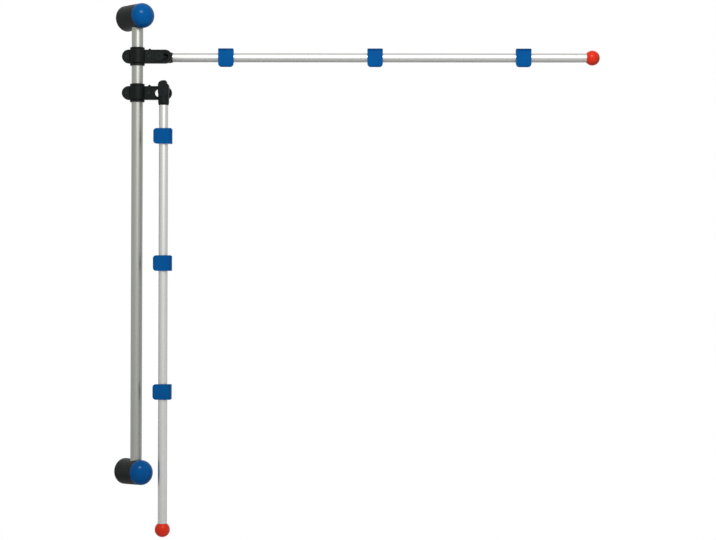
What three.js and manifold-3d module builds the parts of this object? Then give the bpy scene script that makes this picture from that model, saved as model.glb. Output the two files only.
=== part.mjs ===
import * as THREE from "three";
import { mergeVertices } from "three/addons/utils/BufferGeometryUtils.js";
import Module from "manifold-3d";

const wasm = await Module();
wasm.setup();

// A wall rack for hanging plans: a column between two wall brackets, two swivel clamps on it,
// and in each clamp an arm that pulls out, folds and carries three sprung clips.
// Millimetres, +Z up. The wall is the plane y = 0 and the rack stands in front of it at negative y.
// The origin is the centre of the lower bracket's wall face.

// Fits
const fitGap = 0.3; // between pieces that seat in, slide on or turn on each other
const cutOver = 1; // how far a hole's tool passes the face that it starts from

// Column
const columnOd = 25;
const columnWall = 1.5;
const columnStandoff = 45; // wall to column axis
const bracketSpacing = 996; // axis of the lower bracket to axis of the upper one
const columnEndShy = 6; // each end stops this far from its bracket's axis

// Wall brackets
const bracketOdAtWall = 57;
const bracketOdAtCap = 54.5; // moulding draft makes the front a little smaller
const bracketEdge = 1;
const bracketFrontWall = 4.5; // plastic in front of the column
const wallScrewHole = 6.6;
const wallScrewWell = 13; // bore that takes the wall screw's head and its driver
const wallScrewFloor = 8; // plastic between that bore and the wall
const wallScrewOffset = 13.5; // from the bracket's axis, on the side away from the column
const lockScrewOd = 5;
const lockScrewOffset = 17; // from the bracket's axis, on the column's side
const setScrewKey = 0.5; // across the corners of a set screw's socket, over the screw's diameter
const setScrewKeyDepth = 0.5; // over the screw's length

// Bracket caps
const capSkirt = 3;
const capDome = 22.5;
const capWall = 2.4;
const capSpigotInset = 3.25; // from the cap's outside to its spigot's
const capSpigotWall = 2;
const capSpigotDepth = 3.4;

// Swivel sleeves
const sleeveWall = 1.2; // at the groove that the clamp turns in
const sleeveFlangeWidth = 2.1;
const sleeveFlangeHeight = 4.7;
const sleeveEdge = 1.2;
const sleeveScrewOd = 3;

// Swivel clamps
const upperClampDrop = 88; // from the upper bracket's axis
const clampSpacing = 80;
const armSwing = 38; // degrees that the arms stand out from the wall
const clampHeight = 30;
const clampWall = 3.7; // shell thickness round the sleeve
const clampHalf = 6; // thickness of each half of the ear and of the lug
const clampEdge = 1.2;
const earLength = 15.5;
const clampScrewStandoff = 6.5; // from the shell's round part to a clamp screw
const clampScrewOd = 4;
const clampScrewHead = 7.2;
const clampScrewHeadHeight = 2.4;
const clampScrewKey = 3; // across the corners of the hexagon socket
const clampNutCorners = 8;
const clampNutHeight = 2.4;
const toothRadius = 3; // index tooth on the lug's top edge
const toothStandoff = 9; // from the shell's round part to the tooth

// Slotted lug and pivot pin
const pinSeat = 47.5; // column axis to the pin, pushed in
const pinTravel = 12;
const slotHeight = 17;
const lugEnd = 16.5; // from the pulled-out pin to the lug's end
const lugRim = 2.5;
const lugPocketDepth = 2;
const pivotFlangeLap = 2.3; // how far the pin's flange covers the slot's edge
const pivotFlangeThickness = 1.6;
const pivotShaftOd = 10;
const pivotCollarWidth = 1.7;
const pivotCollarHeight = 2.6;

// Arms
const armOd = 20;
const armWall = 1.5;
const armLength = 951; // pin to the ball's centre
const armTubeStart = 13; // pin to the tube's inner end
const ballOd = 33;
const ballSeat = 2; // how far the tube's end passes the ball's centre
const socketWall = 1.7;
const socketReach = 28.5; // pin to the socket's mouth
const socketMouthTaper = 4.5;
const tailReach = 25; // pin to the end of the beaked tail
const tailBeak = 7.6; // height of the beak above the arm's axis
const tailNotch = 2.6; // depth of the notch behind the beak

// Clips
const clipShares = { // where the clips stand, over the arm's length
  upper: [0.1534, 0.4976, 0.8404],
  lower: [0.1014, 0.3924, 0.6863],
};
const clipLength = 34;
const clipCorner = 7.5; // lower corners of the front plate
const clipTopCorner = 2;
const saddleWall = 2.5;
const saddleShy = 0.5; // the saddle is this much shorter than the jaw at each end
const saddleFrom = 95; // degrees round the tube, from the front over the top, back and underside
const saddleTo = 305;
const bridgeLap = 5; // degrees that a saddle knuckle's foot runs into the saddle
const finAngle = 112; // where the thumb fin stands on the saddle
const finThickness = 2.4;
const finLean = 3.2;
const jawThickness = 2.6;
const jawDrop = 11.5; // from the tube's underside to the jaw's lower edge
const jawLipHeight = 6;
const jawLipCurl = 3;
const jawBevel = 0.9;
const thumbRise = 1.5; // from the hinge knuckles to the top of the thumb edge
const thumbHeight = 4.5;
const thumbFlare = 2.4;
const hingePinOd = 3;
const knuckleWall = 1.7;
const knuckleLap = 0.5; // how deep a saddle knuckle runs into the saddle's ring
const jawKnuckle = 5;
const knuckleWeb = 0.75; // half height of a jaw knuckle's web, over the knuckle's radius
const saddleKnuckle = 4;
const springWire = 0.8;
const springPlay = 0.7; // from the hinge pin to the coil
const springTurns = 3.25; // the quarter turn brings one leg to the jaw and the other to the fin
const springLegFoot = 7.5; // where the jaw's leg ends, above the tube's axis

// Facets
const tubeSides = 24;
const bodySides = 28;
const smallSides = 10;
const keySides = 6; // hexagon sockets and nuts
const arcSteps = 7; // along a half round of an outline
const cornerSteps = 2;
const lipSteps = 4;
const saddleSteps = 10;
const domeSteps = 4;
const ballSides = 18;
const ballBands = 10;
const springSides = 4;
const springStepsPerTurn = 7;
const springLegSteps = 4;
const springSamples = 400; // points along the wire where its own gaps are measured
const springSkip = 3; // wire diameters along the wire that count as the same place

// Worked out from the driving dimensions
const columnRadius = columnOd / 2;
const upperClampAt = bracketSpacing - upperClampDrop;
const lowerClampAt = upperClampAt - clampSpacing;
const bracketDepth = columnStandoff + columnRadius + bracketFrontWall;
const capRadius = bracketOdAtCap / 2;
const capSpigotRadius = capRadius - capSpigotInset;
const sleeveBore = columnRadius + fitGap;
const grooveRadius = sleeveBore + sleeveWall;
const flangeRadius = grooveRadius + sleeveFlangeWidth;
const sleeveHalf = clampHeight / 2 + fitGap + sleeveFlangeHeight;
const clampHalfHeight = clampHeight / 2;
const shellRadius = grooveRadius + fitGap + clampWall;
const screwReach = shellRadius + clampScrewStandoff;
const earReach = shellRadius + earLength;
const lugReach = pinSeat + pinTravel + lugEnd;
const lugWeb = clampHalf - lugPocketDepth;
const slotRadius = slotHeight / 2;
const armRadius = armOd / 2;
const ballRadius = ballOd / 2;
const socketRadius = armRadius + fitGap + socketWall;
const armOffset = clampHalf + fitGap + socketRadius; // from the clamp's middle plane to the arm's axis
const pivotShaftRadius = pivotShaftOd / 2;
const collarSink = pivotCollarHeight + 3 * fitGap;
const knuckleRadius = hingePinOd / 2 + knuckleWall;
const saddleBore = armRadius + fitGap;
const saddleRadius = saddleBore + saddleWall;
const jawBack = armRadius + fitGap; // front of the tube to the jaw's inner face
const jawFront = jawBack + jawThickness;
const hingeForward = jawBack - knuckleRadius - 3 * fitGap;
const hingeDistance = saddleRadius + knuckleRadius - knuckleLap;
const hingeUp = Math.sqrt(hingeDistance ** 2 - hingeForward ** 2);
const clipTop = hingeUp + knuckleRadius + thumbRise;
const clipBottom = -(armRadius + jawDrop);
const saddleKnuckleInner = clipLength / 2 - jawKnuckle - fitGap - saddleKnuckle;

const degrees = Math.PI / 180;
const quarterTurn = Math.PI / 2;

// Finishes
const satinAluminium = new THREE.MeshStandardMaterial({ color: 0xc6c8c4, roughness: 0.38, metalness: 1 });
const blackPlastic = new THREE.MeshStandardMaterial({ color: 0x1e2624, roughness: 0.5, metalness: 0 });
const bluePlastic = new THREE.MeshStandardMaterial({ color: 0x00519a, roughness: 0.22, metalness: 0 });
const redPlastic = new THREE.MeshStandardMaterial({ color: 0xe33a24, roughness: 0.3, metalness: 0 });
const zincSteel = new THREE.MeshStandardMaterial({ color: 0xa9adb0, roughness: 0.35, metalness: 1 });
const blackSteel = new THREE.MeshStandardMaterial({ color: 0x24272a, roughness: 0.45, metalness: 1 });
const springSteel = new THREE.MeshStandardMaterial({ color: 0x8a8d90, roughness: 0.3, metalness: 1 });

// A closed geometry as a solid that can be joined and cut.
function solidOf(geometry) {
  const bare = new THREE.BufferGeometry();
  const flat = geometry.index ? geometry.toNonIndexed() : geometry;
  bare.setAttribute("position", flat.getAttribute("position"));
  const merged = mergeVertices(bare, 1e-4);
  const mesh = new wasm.Mesh({
    numProp: 3,
    vertProperties: merged.attributes.position.array,
    triVerts: new Uint32Array(merged.index.array),
  });
  return new wasm.Manifold(mesh);
}

function geometryOf(solid) {
  const mesh = solid.getMesh();
  const geometry = new THREE.BufferGeometry();
  geometry.setAttribute("position", new THREE.BufferAttribute(Float32Array.from(mesh.vertProperties), 3));
  geometry.setIndex(new THREE.BufferAttribute(Uint32Array.from(mesh.triVerts), 1));
  geometry.computeVertexNormals();
  return geometry;
}

function join(...geometries) {
  return geometryOf(geometries.map(solidOf).reduce((whole, piece) => whole.add(piece)));
}

function cut(geometry, ...tools) {
  return geometryOf(tools.map(solidOf).reduce((whole, tool) => whole.subtract(tool), solidOf(geometry)));
}

function common(a, b) {
  return geometryOf(solidOf(a).intersect(solidOf(b)));
}

// A profile of [radius, height] points turned round +Z, listed from the bottom outwards and up.
function turned(profile, sides = bodySides) {
  const points = profile.map(([radius, height]) => new THREE.Vector2(radius, height));
  return new THREE.LatheGeometry(points, sides).rotateX(quarterTurn);
}

function rod(radius, from, to, sides = tubeSides) {
  return turned([[0, from], [radius, from], [radius, to], [0, to]], sides);
}

function ring(inner, outer, from, to, sides = tubeSides) {
  return turned([[inner, from], [outer, from], [outer, to], [inner, to], [inner, from]], sides);
}

// Geometry made along +Z, turned to run along +X or along +Y (side 1) or -Y (side -1).
function alongX(geometry) {
  return geometry.rotateY(quarterTurn);
}

function alongY(geometry, side = 1) {
  return geometry.rotateX(-side * quarterTurn);
}

// A drawn shape made into a plate of the given thickness, centred on the plane that it is drawn in.
function plate(shape, thickness, edge = 0, curveSegments = arcSteps) {
  const settings = { depth: thickness - 2 * edge, bevelEnabled: edge > 0, curveSegments };
  if (edge > 0) {
    Object.assign(settings, { bevelThickness: edge, bevelSize: edge, bevelOffset: -edge, bevelSegments: 1 });
  }
  return new THREE.ExtrudeGeometry(shape, settings).translate(0, 0, edge - thickness / 2);
}

// The drawing's x and y become the model's x and z, and its thickness runs along y.
function upright(geometry) {
  return geometry.rotateX(quarterTurn);
}

// The drawing's x points to the front (-y), its y points up, and its thickness runs along the arm.
function across(geometry) {
  const turn = new THREE.Matrix4().set(0, 0, -1, 0, -1, 0, 0, 0, 0, 1, 0, 0, 0, 0, 0, 1);
  return geometry.applyMatrix4(turn);
}

function stadium(from, to, radius) {
  const shape = new THREE.Shape();
  shape.absarc(to - radius, 0, radius, -quarterTurn, quarterTurn, false);
  shape.absarc(from + radius, 0, radius, quarterTurn, 3 * quarterTurn, false);
  shape.closePath();
  return shape;
}

function sector(inner, outer, from, to) {
  const shape = new THREE.Shape();
  shape.absarc(0, 0, outer, from * degrees, to * degrees, false);
  shape.absarc(0, 0, inner, to * degrees, from * degrees, true);
  shape.closePath();
  return shape;
}

function polygon(points) {
  return new THREE.Shape(points.map(([x, y]) => new THREE.Vector2(x, y)));
}

function named(name, geometry, material) {
  const mesh = new THREE.Mesh(geometry, material);
  mesh.name = name;
  return mesh;
}

// Wall bracket, in a frame whose z runs out from the wall and whose y points along the column.
function bracketBody() {
  const body = turned([
    [0, 0],
    [bracketOdAtWall / 2 - bracketEdge, 0],
    [bracketOdAtWall / 2, bracketEdge],
    [capRadius, bracketDepth],
    [0, bracketDepth],
  ]);
  const front = bracketDepth + cutOver;
  const columnSocket = alongY(rod(columnRadius + fitGap, columnEndShy - fitGap, bracketOdAtWall));
  const spigotSeat = ring(
    capSpigotRadius - capSpigotWall - fitGap,
    capSpigotRadius + fitGap,
    bracketDepth - capSpigotDepth - fitGap,
    front,
  );
  const well = rod(wallScrewWell / 2, wallScrewFloor, front).translate(0, -wallScrewOffset, 0);
  const hole = rod(wallScrewHole / 2, -cutOver, front, smallSides).translate(0, -wallScrewOffset, 0);
  const lockHole = rod(lockScrewOd / 2 + fitGap, columnStandoff, front, smallSides);
  return cut(
    body,
    columnSocket.translate(0, 0, columnStandoff),
    spigotSeat,
    well,
    hole,
    lockHole.translate(0, lockScrewOffset, 0),
  );
}

function bracketCap() {
  const seat = bracketDepth + fitGap;
  const equator = seat + capSkirt;
  const inner = capSpigotRadius - capSpigotWall;
  const tip = bracketDepth - capSpigotDepth;
  const profile = [];
  for (let step = 0; step <= domeSteps; step += 1) {
    const angle = quarterTurn * (1 - step / domeSteps);
    const radius = step === 0 ? 0 : inner * Math.cos(angle);
    profile.push([radius, equator + (capDome - capWall) * Math.sin(angle)]);
  }
  profile.push([inner, tip], [capSpigotRadius, tip], [capSpigotRadius, seat], [capRadius, seat]);
  for (let step = 0; step <= domeSteps; step += 1) {
    const angle = (quarterTurn * step) / domeSteps;
    const radius = step === domeSteps ? 0 : capRadius * Math.cos(angle);
    profile.push([radius, equator + capDome * Math.sin(angle)]);
  }
  return turned(profile, tubeSides);
}

// Set screw with a hexagon socket, its tip just clear of the column.
function setScrew(outside, length) {
  const key = rod((setScrewKey * outside) / 2, length * setScrewKeyDepth, length + cutOver, keySides);
  return cut(rod(outside / 2, 0, length, smallSides), key);
}

function wallBracket(end, at, turn) {
  const frame = new THREE.Group();
  frame.position.z = at;
  frame.rotation.x = quarterTurn;
  const bracket = new THREE.Group();
  bracket.rotation.z = turn;
  frame.add(bracket);
  bracket.add(named(`${end}_bracket`, bracketBody(), blackPlastic));
  bracket.add(named(`${end}_bracket_cap`, bracketCap(), bluePlastic));
  const screw = setScrew(lockScrewOd, bracketFrontWall - 2 * fitGap);
  const lockScrew = named(`${end}_bracket_lock_screw`, screw, zincSteel);
  lockScrew.position.set(0, lockScrewOffset, columnStandoff + columnRadius + fitGap);
  bracket.add(lockScrew);
  return frame;
}

function column() {
  const tube = ring(columnRadius - columnWall, columnRadius, columnEndShy, bracketSpacing - columnEndShy);
  const mesh = named("column_tube", tube, satinAluminium);
  mesh.position.y = -columnStandoff;
  return mesh;
}

// Sleeve fixed on the column, with the groove that a clamp turns in.
function swivelSleeve(end, at) {
  const sleeve = new THREE.Group();
  sleeve.position.set(0, -columnStandoff, at);
  const groove = clampHalfHeight + fitGap;
  const body = turned([
    [sleeveBore, -sleeveHalf],
    [flangeRadius - sleeveEdge, -sleeveHalf],
    [flangeRadius, sleeveEdge - sleeveHalf],
    [flangeRadius, -groove],
    [grooveRadius, -groove],
    [grooveRadius, groove],
    [flangeRadius, groove],
    [flangeRadius, sleeveHalf - sleeveEdge],
    [flangeRadius - sleeveEdge, sleeveHalf],
    [sleeveBore, sleeveHalf],
    [sleeveBore, -sleeveHalf],
  ]);
  const screwAt = groove + sleeveFlangeHeight / 2;
  const hole = alongY(rod(sleeveScrewOd / 2 + fitGap, columnRadius, flangeRadius + cutOver, smallSides));
  const drilled = cut(body, hole.translate(0, 0, screwAt));
  sleeve.add(named(`${end}_sleeve`, drilled, blackPlastic));
  const screwLength = flangeRadius - columnRadius - 2 * fitGap;
  const screw = alongY(setScrew(sleeveScrewOd, screwLength).translate(0, 0, columnRadius + fitGap));
  sleeve.add(named(`${end}_sleeve_screw`, screw.translate(0, 0, screwAt), zincSteel));
  return sleeve;
}

// Clamp shells. Their frame has x along the arm, y towards the wall side and z up, on the column's axis.
function clampBlank(armSide) {
  const slab = upright(plate(stadium(-earReach, lugReach, clampHalfHeight), 2 * clampHalf, clampEdge));
  const bulge = turned([
    [0, -clampHalfHeight],
    [shellRadius - clampEdge, -clampHalfHeight],
    [shellRadius, clampEdge - clampHalfHeight],
    [shellRadius, clampHalfHeight - clampEdge],
    [shellRadius - clampEdge, clampHalfHeight],
    [0, clampHalfHeight],
  ]);
  const tooth = alongY(rod(toothRadius, fitGap, clampHalf - clampEdge, smallSides), armSide);
  tooth.translate(shellRadius + toothStandoff, 0, clampHalfHeight);
  const grooveBore = rod(grooveRadius + fitGap, -clampHeight, clampHeight, bodySides);
  const slotShape = stadium(pinSeat - slotRadius, pinSeat + pinTravel + slotRadius, slotRadius);
  const slot = upright(plate(slotShape, 4 * clampHalf));
  const pockets = [-1, 1].map((face) => lugPocket().translate(0, face * clampHalf, 0));
  return cut(join(slab, bulge, tooth), grooveBore, slot, ...pockets);
}

// The sunk face inside the lug's rim, cut to twice its depth about the lug's outer face.
function lugPocket() {
  const start = screwReach + clampScrewHead / 2 + lugRim;
  const half = clampHalfHeight - lugRim;
  const shape = new THREE.Shape();
  shape.moveTo(start, half);
  shape.lineTo(start, -half);
  shape.absarc(lugReach - lugRim - half, 0, half, -quarterTurn, quarterTurn, false);
  shape.closePath();
  return upright(plate(shape, 2 * lugPocketDepth));
}

// What one clamp screw and its nut need cut away: head at the front, nut at the wall side.
function clampScrewCut(at) {
  const outside = 2 * clampHalf;
  const headSink = clampScrewHeadHeight + 2 * fitGap;
  const nutSink = clampNutHeight + 2 * fitGap;
  const shank = alongY(rod(clampScrewOd / 2 + fitGap, -outside, outside, smallSides));
  const head = alongY(rod(clampScrewHead / 2 + fitGap, clampHalf - headSink, outside, smallSides), -1);
  const nut = alongY(rod(clampNutCorners / 2 + fitGap, clampHalf - nutSink, outside, keySides));
  return join(shank, head, nut).translate(at, 0, 0);
}

function clampScrew() {
  const head = clampHalf - fitGap;
  const shoulder = head - clampScrewHeadHeight;
  const body = turned(
    [
      [0, fitGap - clampHalf],
      [clampScrewOd / 2, fitGap - clampHalf],
      [clampScrewOd / 2, shoulder],
      [clampScrewHead / 2, shoulder],
      [clampScrewHead / 2, head],
      [0, head],
    ],
    smallSides,
  );
  const key = rod(clampScrewKey / 2, head - clampScrewHeadHeight / 2, head + cutOver, keySides);
  return alongY(cut(body, key), -1);
}

function clampNut() {
  const outer = clampHalf - fitGap;
  const hexagon = rod(clampNutCorners / 2, outer - clampNutHeight, outer, keySides);
  const hole = rod(clampScrewOd / 2 + fitGap, 0, 2 * clampHalf, smallSides);
  return alongY(cut(hexagon, hole));
}

function swivelClamp(end, armSide) {
  const clamp = new THREE.Group();
  const screws = { ear: -screwReach, neck: screwReach };
  const blank = cut(clampBlank(armSide), ...Object.values(screws).map(clampScrewCut));
  const room = 4 * lugReach;
  for (const [half, side] of [["front", -1], ["back", 1]]) {
    const space = new THREE.BoxGeometry(room, room, room).translate(0, side * (room + fitGap) / 2, 0);
    clamp.add(named(`${end}_clamp_${half}_shell`, common(blank, space), blackPlastic));
  }
  for (const [place, at] of Object.entries(screws)) {
    const screw = named(`${end}_clamp_${place}_screw`, clampScrew(), blackSteel);
    screw.position.x = at;
    const nut = named(`${end}_clamp_${place}_nut`, clampNut(), blackSteel);
    nut.position.x = at;
    clamp.add(screw, nut);
  }
  return clamp;
}

// Pin that slides in the lug's slot, with the shaft that the arm folds on. It points to the arm's side.
function pivot(end, armSide) {
  const flangeBack = -(lugWeb + fitGap + pivotFlangeThickness);
  const shaftEnd = armOffset + socketRadius - 2 * fitGap;
  const pin = turned(
    [
      [0, flangeBack],
      [slotRadius + pivotFlangeLap, flangeBack],
      [slotRadius + pivotFlangeLap, flangeBack + pivotFlangeThickness],
      [slotRadius - fitGap, flangeBack + pivotFlangeThickness],
      [slotRadius - fitGap, clampHalf],
      [pivotShaftRadius, clampHalf],
      [pivotShaftRadius, shaftEnd],
      [0, shaftEnd],
    ],
    tubeSides,
  );
  const collarOuter = pivotShaftRadius + fitGap + pivotCollarWidth;
  const collarFrom = armOffset + socketRadius - collarSink + fitGap;
  const collar = ring(
    pivotShaftRadius + fitGap,
    collarOuter,
    collarFrom,
    collarFrom + pivotCollarHeight,
  );
  const group = new THREE.Group();
  group.add(named(`${end}_pivot_pin`, alongY(pin, armSide), blackPlastic));
  group.add(named(`${end}_pivot_collar`, alongY(collar, armSide), blackSteel));
  return group;
}

// Arm socket, in the arm's frame: x along the arm from the pin, z up when the arm is level.
function armSocket(armSide) {
  const tail = new THREE.Shape();
  const notchAt = (socketRadius + tailReach) / 2;
  tail.moveTo(0, -socketRadius);
  tail.absarc(0, 0, socketRadius, -quarterTurn, quarterTurn, false);
  tail.lineTo(-socketRadius, socketRadius);
  tail.quadraticCurveTo(-notchAt, socketRadius, -notchAt, tailBeak - tailNotch);
  tail.lineTo(-tailReach + tailNotch, tailBeak);
  tail.lineTo(-tailReach, tailBeak - tailNotch);
  tail.lineTo(-tailReach, 0);
  tail.quadraticCurveTo(-tailReach, -socketRadius, -socketRadius, -socketRadius);
  tail.closePath();
  const hub = upright(plate(tail, 2 * socketRadius, clampEdge));
  const barrel = turned(
    [
      [0, 0],
      [socketRadius, 0],
      [socketRadius, socketReach - socketMouthTaper],
      [armRadius + 2 * fitGap, socketReach],
      [0, socketReach],
    ],
    tubeSides,
  );
  const bore = rod(armRadius + fitGap, armTubeStart - fitGap, socketReach + cutOver);
  const pinHole = rod(pivotShaftRadius + fitGap, -2 * socketRadius, 2 * socketRadius, tubeSides);
  const collarRadius = pivotShaftRadius + pivotCollarWidth + 2 * fitGap;
  const recess = rod(collarRadius, socketRadius - collarSink, 2 * socketRadius, tubeSides);
  return cut(join(hub, alongX(barrel)), alongX(bore), alongY(pinHole), alongY(recess, armSide));
}

function ballEnd() {
  const ball = new THREE.SphereGeometry(ballRadius, ballSides, ballBands);
  const bore = alongX(rod(armRadius + fitGap, -ballOd, ballSeat + fitGap));
  return cut(ball, bore);
}

// Clip pieces, in the clip's frame: x along the arm, -y to the front, z up when the arm is level.
// The front plate's outline as seen from the front.
function jawOutline() {
  const half = clipLength / 2;
  const outline = new THREE.Shape();
  outline.moveTo(clipCorner - half, clipBottom);
  outline.absarc(half - clipCorner, clipBottom + clipCorner, clipCorner, -quarterTurn, 0, false);
  outline.absarc(half - clipTopCorner, clipTop - clipTopCorner, clipTopCorner, 0, quarterTurn, false);
  outline.absarc(clipTopCorner - half, clipTop - clipTopCorner, clipTopCorner, quarterTurn, Math.PI, false);
  outline.absarc(clipCorner - half, clipBottom + clipCorner, clipCorner, Math.PI, 3 * quarterTurn, false);
  return upright(plate(outline, 4 * jawFront, 0, cornerSteps));
}

// The front plate's section: a lip curled back under the tube, a flat face, and a flared thumb edge.
function jawSection() {
  const section = new THREE.Shape();
  const lip = clipBottom + jawLipHeight;
  const thumb = clipTop - thumbHeight;
  section.moveTo(jawBack, thumb);
  section.lineTo(jawBack, lip);
  section.quadraticCurveTo(jawBack, clipBottom + jawThickness, jawBack - jawLipCurl, clipBottom + jawBevel);
  section.lineTo(jawFront - jawLipCurl - jawBevel, clipBottom);
  section.quadraticCurveTo(jawFront, clipBottom, jawFront, lip);
  section.lineTo(jawFront, thumb);
  section.lineTo(jawFront + thumbFlare, clipTop - jawBevel);
  section.lineTo(jawFront + thumbFlare - jawBevel, clipTop);
  section.lineTo(jawBack + thumbFlare + jawBevel, clipTop);
  return across(plate(section, clipLength, 0, lipSteps));
}

// A round bar on the hinge's axis, along the arm: a knuckle, the pin or the hole for it.
function knuckle(from, length, radius = knuckleRadius) {
  return alongX(rod(radius, from, from + length, smallSides)).translate(0, -hingeForward, hingeUp);
}

function hingeHole() {
  return knuckle(-clipLength, 2 * clipLength, hingePinOd / 2 + fitGap);
}

function clipJaw() {
  const end = clipLength / 2;
  const half = knuckleRadius * knuckleWeb;
  const knuckles = [-end, end - jawKnuckle].flatMap((from) => {
    const web = polygon([
      [hingeForward, hingeUp - half],
      [jawBack + jawThickness / 2, hingeUp - half],
      [jawBack + jawThickness / 2, hingeUp + half],
      [hingeForward, hingeUp + half],
    ]);
    const block = across(plate(web, jawKnuckle)).translate(from + jawKnuckle / 2, 0, 0);
    return [knuckle(from, jawKnuckle), block];
  });
  return cut(join(common(jawSection(), jawOutline()), ...knuckles), hingeHole());
}

// The fin's front edge, from the saddle's ring up to the clip's top: forward place at a height.
function finFront(height) {
  const foot = (saddleBore + saddleWall / 2) * Math.sin(finAngle * degrees);
  const footForward = (saddleBore + saddleWall / 2) * Math.cos(finAngle * degrees) + finThickness / 2;
  return footForward - (finLean * (height - foot)) / (clipTop - foot);
}

function clipSaddle() {
  const length = clipLength - 2 * saddleShy;
  const foot = (saddleBore + saddleWall / 2) * Math.sin(finAngle * degrees);
  const finBack = [finFront(foot) - finThickness, foot];
  const section = new THREE.Shape();
  section.moveTo(finFront(clipTop), clipTop);
  section.lineTo(finFront(clipTop) - finThickness, clipTop);
  section.absarc(0, 0, saddleRadius, Math.atan2(finBack[1], finBack[0]), saddleTo * degrees, false);
  section.absarc(0, 0, saddleBore, saddleTo * degrees, saddleFrom * degrees, true);
  const mouth = saddleFrom * degrees;
  section.lineTo(saddleRadius * Math.cos(mouth), saddleRadius * Math.sin(mouth));
  section.lineTo(finFront(saddleRadius), saddleRadius);
  const aim = Math.atan2(hingeUp, hingeForward) / degrees;
  const knuckles = [-1, 1].flatMap((end) => {
    const from = end < 0 ? -saddleKnuckleInner - saddleKnuckle : saddleKnuckleInner;
    const foot = sector(saddleBore, saddleRadius, aim, saddleFrom + bridgeLap);
    const bridge = across(plate(foot, saddleKnuckle, 0, cornerSteps));
    return [knuckle(from, saddleKnuckle), bridge.translate(from + saddleKnuckle / 2, 0, 0)];
  });
  return cut(join(across(plate(section, length, 0, saddleSteps)), ...knuckles), hingeHole());
}

function hingePin() {
  const half = clipLength / 2 - saddleShy;
  return knuckle(-half, 2 * half, hingePinOd / 2);
}

// Torsion spring on the hinge pin: one leg behind the jaw's plate, the other against the saddle's fin.
function springPath() {
  const radius = hingePinOd / 2 + springPlay + springWire / 2;
  const half = saddleKnuckleInner - fitGap - springWire / 2;
  const points = [];
  const place = (along, forward, up) => points.push(new THREE.Vector3(along, -forward, up));
  const jawLeg = jawBack - fitGap - springWire / 2;
  place(-half, jawLeg, springLegFoot);
  place(-half, (jawLeg + hingeForward + radius) / 2, (springLegFoot + hingeUp) / 2);
  const steps = Math.round(springTurns * springStepsPerTurn);
  for (let step = 0; step <= steps; step += 1) {
    const angle = (2 * Math.PI * springTurns * step) / steps;
    const along = -half + (2 * half * step) / steps;
    place(along, hingeForward + radius * Math.cos(angle), hingeUp + radius * Math.sin(angle));
  }
  const finLeg = finFront(hingeUp + radius) + fitGap;
  place(half, (finLeg + hingeForward) / 2, hingeUp + radius);
  place(half, finLeg, hingeUp + radius);
  return new THREE.CatmullRomCurve3(points, false, "centripetal");
}

function clipSpring(path) {
  const wire = new THREE.Shape();
  for (let side = 0; side < springSides; side += 1) {
    const angle = (2 * Math.PI * side) / springSides;
    const x = (springWire / 2) * Math.cos(angle);
    const y = (springWire / 2) * Math.sin(angle);
    if (side === 0) wire.moveTo(x, y);
    else wire.lineTo(x, y);
  }
  wire.closePath();
  const steps = path.points.length + springLegSteps;
  return new THREE.ExtrudeGeometry(wire, { steps, extrudePath: path, curveSegments: 1 });
}

// Least clear distance between turns of the spring, measured on points along its wire.
function leastGap(path) {
  const samples = path.getSpacedPoints(springSamples);
  const apart = Math.ceil((springSkip * springWire * springSamples) / path.getLength());
  let least = Infinity;
  for (let i = 0; i < samples.length; i += 1) {
    for (let j = i + apart; j < samples.length; j += 1) {
      least = Math.min(least, samples[i].distanceTo(samples[j]) - springWire);
    }
  }
  return least;
}

const clipPath = springPath();
console.log(`clip spring: least gap to itself ${leastGap(clipPath).toFixed(2)} mm`);
const clipPieces = {
  saddle: [clipSaddle(), bluePlastic],
  jaw: [clipJaw(), bluePlastic],
  hinge_pin: [hingePin(), zincSteel],
  spring: [clipSpring(clipPath), springSteel],
};

function clip(name) {
  const group = new THREE.Group();
  for (const [piece, [geometry, material]] of Object.entries(clipPieces)) {
    group.add(named(`${name}_${piece}`, geometry, material));
  }
  return group;
}

function arm(end, armSide) {
  const group = new THREE.Group();
  const tubeEnd = armLength + ballSeat;
  const tube = alongX(ring(armRadius - armWall, armRadius, armTubeStart, tubeEnd));
  group.add(named(`${end}_arm_socket`, armSocket(armSide), blackPlastic));
  group.add(named(`${end}_arm_tube`, tube, satinAluminium));
  const ball = named(`${end}_arm_ball`, ballEnd(), redPlastic);
  ball.position.x = armLength;
  group.add(ball);
  clipShares[end].forEach((share, index) => {
    const piece = clip(`${end}_clip_${index + 1}`);
    piece.position.x = share * armLength;
    group.add(piece);
  });
  return group;
}

// A clamp with its arm. The upper arm hangs on the wall side of its lug, level and pushed in;
// the lower one on the front side, pulled out and folded down.
function armSet(end, at, armSide, pinAt, fold) {
  const set = new THREE.Group();
  set.position.set(0, -columnStandoff, at);
  set.rotation.z = -armSwing * degrees;
  set.add(swivelClamp(end, armSide));
  const pin = pivot(end, armSide);
  pin.position.x = pinAt;
  const folded = arm(end, armSide);
  folded.position.set(pinAt, armSide * armOffset, 0);
  folded.rotation.y = fold;
  set.add(pin, folded);
  return set;
}

const rack = new THREE.Group();
rack.add(column());
rack.add(wallBracket("lower", 0, 0));
rack.add(wallBracket("upper", bracketSpacing, Math.PI));
rack.add(swivelSleeve("upper", upperClampAt));
rack.add(swivelSleeve("lower", lowerClampAt));
rack.add(armSet("upper", upperClampAt, 1, pinSeat, 0));
rack.add(armSet("lower", lowerClampAt, -1, pinSeat + pinTravel, quarterTurn));

export default rack;
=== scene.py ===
# Looks for a plan hanging rack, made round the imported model.
# Pieces are drawn in millimetres in their own frames and placed in metres.
import math

import bmesh
import bpy
from mathutils import Matrix, Vector


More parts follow.
